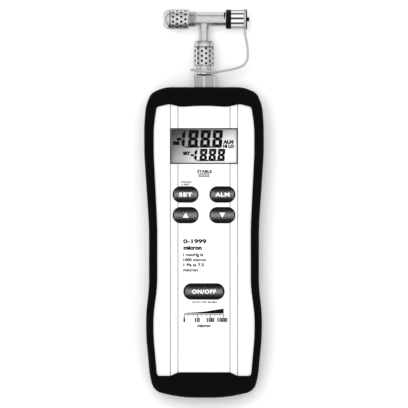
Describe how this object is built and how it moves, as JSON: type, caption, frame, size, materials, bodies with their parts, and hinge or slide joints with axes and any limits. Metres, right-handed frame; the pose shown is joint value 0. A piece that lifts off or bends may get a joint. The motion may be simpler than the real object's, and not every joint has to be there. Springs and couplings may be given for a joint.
{
  "type": "handheld digital vacuum gauge with flare tee",
  "caption": "Handheld digital vacuum gauge in a rubber boot, with a display, push keys and a capped flare tee on its port.",
  "frame": {"origin": "under the middle of the whole length and width, on the surface that the gauge lies on", "axes": "+X right and +Y up as the face is read, towards the tee, and +Z out of the face"},
  "size_m": [0.0874, 0.2842, 0.042],
  "materials": {
    "boot_rubber": "matte black moulded rubber",
    "white_abs": "fine moulded satin",
    "clear_window": "clear gloss",
    "lcd_glass": "grey display glass",
    "conductive_rubber": "matte",
    "dark_plastic": "satin",
    "diffuser": "milky gloss",
    "key_plastic": "satin dark grey with white legends",
    "mat_rubber": "matte grey silicone",
    "board": "green solder mask",
    "chip_epoxy": "matte black",
    "steel": "zinc plated",
    "plated_brass": "bright nickel plating over brass",
    "battery_jacket": "printed metal jacket, plain",
    "red_wire": "gloss insulation",
    "black_wire": "gloss insulation",
    "seal_rubber": "matte black",
    "cap_plastic": "satin pale grey",
    "black_plastic": "satin black",
    "tether_plastic": "soft milky plastic"
  },
  "bodies": {
    "root": {"rubber_boot": "boot_rubber", "front_case": "white_abs", "rear_case": "white_abs", "battery_cover": "white_abs", "battery_cover_screw": "steel", "case_screws": "steel", "lcd_window": "clear_window", "lcd_panel": "lcd_glass", "contact_strips": "conductive_rubber", "lcd_frame": "dark_plastic", "stable_lens": "diffuser", "stable_led": "diffuser", "keypad_mat": "mat_rubber", "main_board": "board", "board_screws": "steel", "processor_chip": "chip_epoxy", "converter_chip": "chip_epoxy", "crystal": "steel", "buzzer": "dark_plastic", "capacitor": "dark_plastic", "battery": "battery_jacket", "battery_snap": "black_plastic", "red_lead": "red_wire", "black_lead": "black_wire", "sensor_port": "plated_brass", "sensor_element": "steel", "sensor_leads": "steel", "port_seal_ring": "seal_rubber", "sensor_lock_washer": "steel", "sensor_lock_nut": "plated_brass"},
    "tee": {"tee_fitting": "plated_brass", "cap_tether": "tether_plastic"},
    "nut": {"swivel_nut": "plated_brass"},
    "flare_cap": {"knurled_cap": "plated_brass", "cap_seal": "seal_rubber"},
    "dust_cap": {"ribbed_cap": "cap_plastic", "cap_band": "black_plastic", "dust_seal": "seal_rubber", "tether_stud": "black_plastic", "tether_washer": "black_plastic"},
    "set_key": {"set_key": "key_plastic"},
    "alarm_key": {"alarm_key": "key_plastic"},
    "up_key": {"up_key": "key_plastic"},
    "down_key": {"down_key": "key_plastic"},
    "power_key": {"power_key": "key_plastic"}
  },
  "joints": [
    {"name": "tee_swivel", "type": "hinge", "parent": "root", "child": "tee", "pos_m": [0, 0.1004, 0.02], "axis": [0, 1, 0], "range_deg": [-180, 180]},
    {"name": "nut_turn", "type": "hinge", "parent": "tee", "child": "nut", "pos_m": [0, 0.1004, 0.02], "axis": [0, 1, 0], "continuous": true},
    {"name": "flare_cap_off", "type": "slide", "parent": "tee", "child": "flare_cap", "axis": [-1, 0, 0], "range_m": [0, 0.04]},
    {"name": "dust_cap_off", "type": "slide", "parent": "tee", "child": "dust_cap", "axis": [1, 0, 0], "range_m": [0, 0.014], "deforming": ["cap_tether"]},
    {"name": "set_key_press", "type": "slide", "parent": "root", "child": "set_key", "axis": [0, 0, -1], "range_m": [0, 0.0009], "stiffness_N_per_m": 800, "springref_m": -0.0005, "deforming": ["keypad_mat"]},
    {"name": "alarm_key_press", "type": "slide", "parent": "root", "child": "alarm_key", "axis": [0, 0, -1], "range_m": [0, 0.0009], "stiffness_N_per_m": 800, "springref_m": -0.0005, "deforming": ["keypad_mat"]},
    {"name": "up_key_press", "type": "slide", "parent": "root", "child": "up_key", "axis": [0, 0, -1], "range_m": [0, 0.0009], "stiffness_N_per_m": 800, "springref_m": -0.0005, "deforming": ["keypad_mat"]},
    {"name": "down_key_press", "type": "slide", "parent": "root", "child": "down_key", "axis": [0, 0, -1], "range_m": [0, 0.0009], "stiffness_N_per_m": 800, "springref_m": -0.0005, "deforming": ["keypad_mat"]},
    {"name": "power_key_press", "type": "slide", "parent": "root", "child": "power_key", "axis": [0, 0, -1], "range_m": [0, 0.0009], "stiffness_N_per_m": 800, "springref_m": -0.0005, "deforming": ["keypad_mat"]}
  ]
}
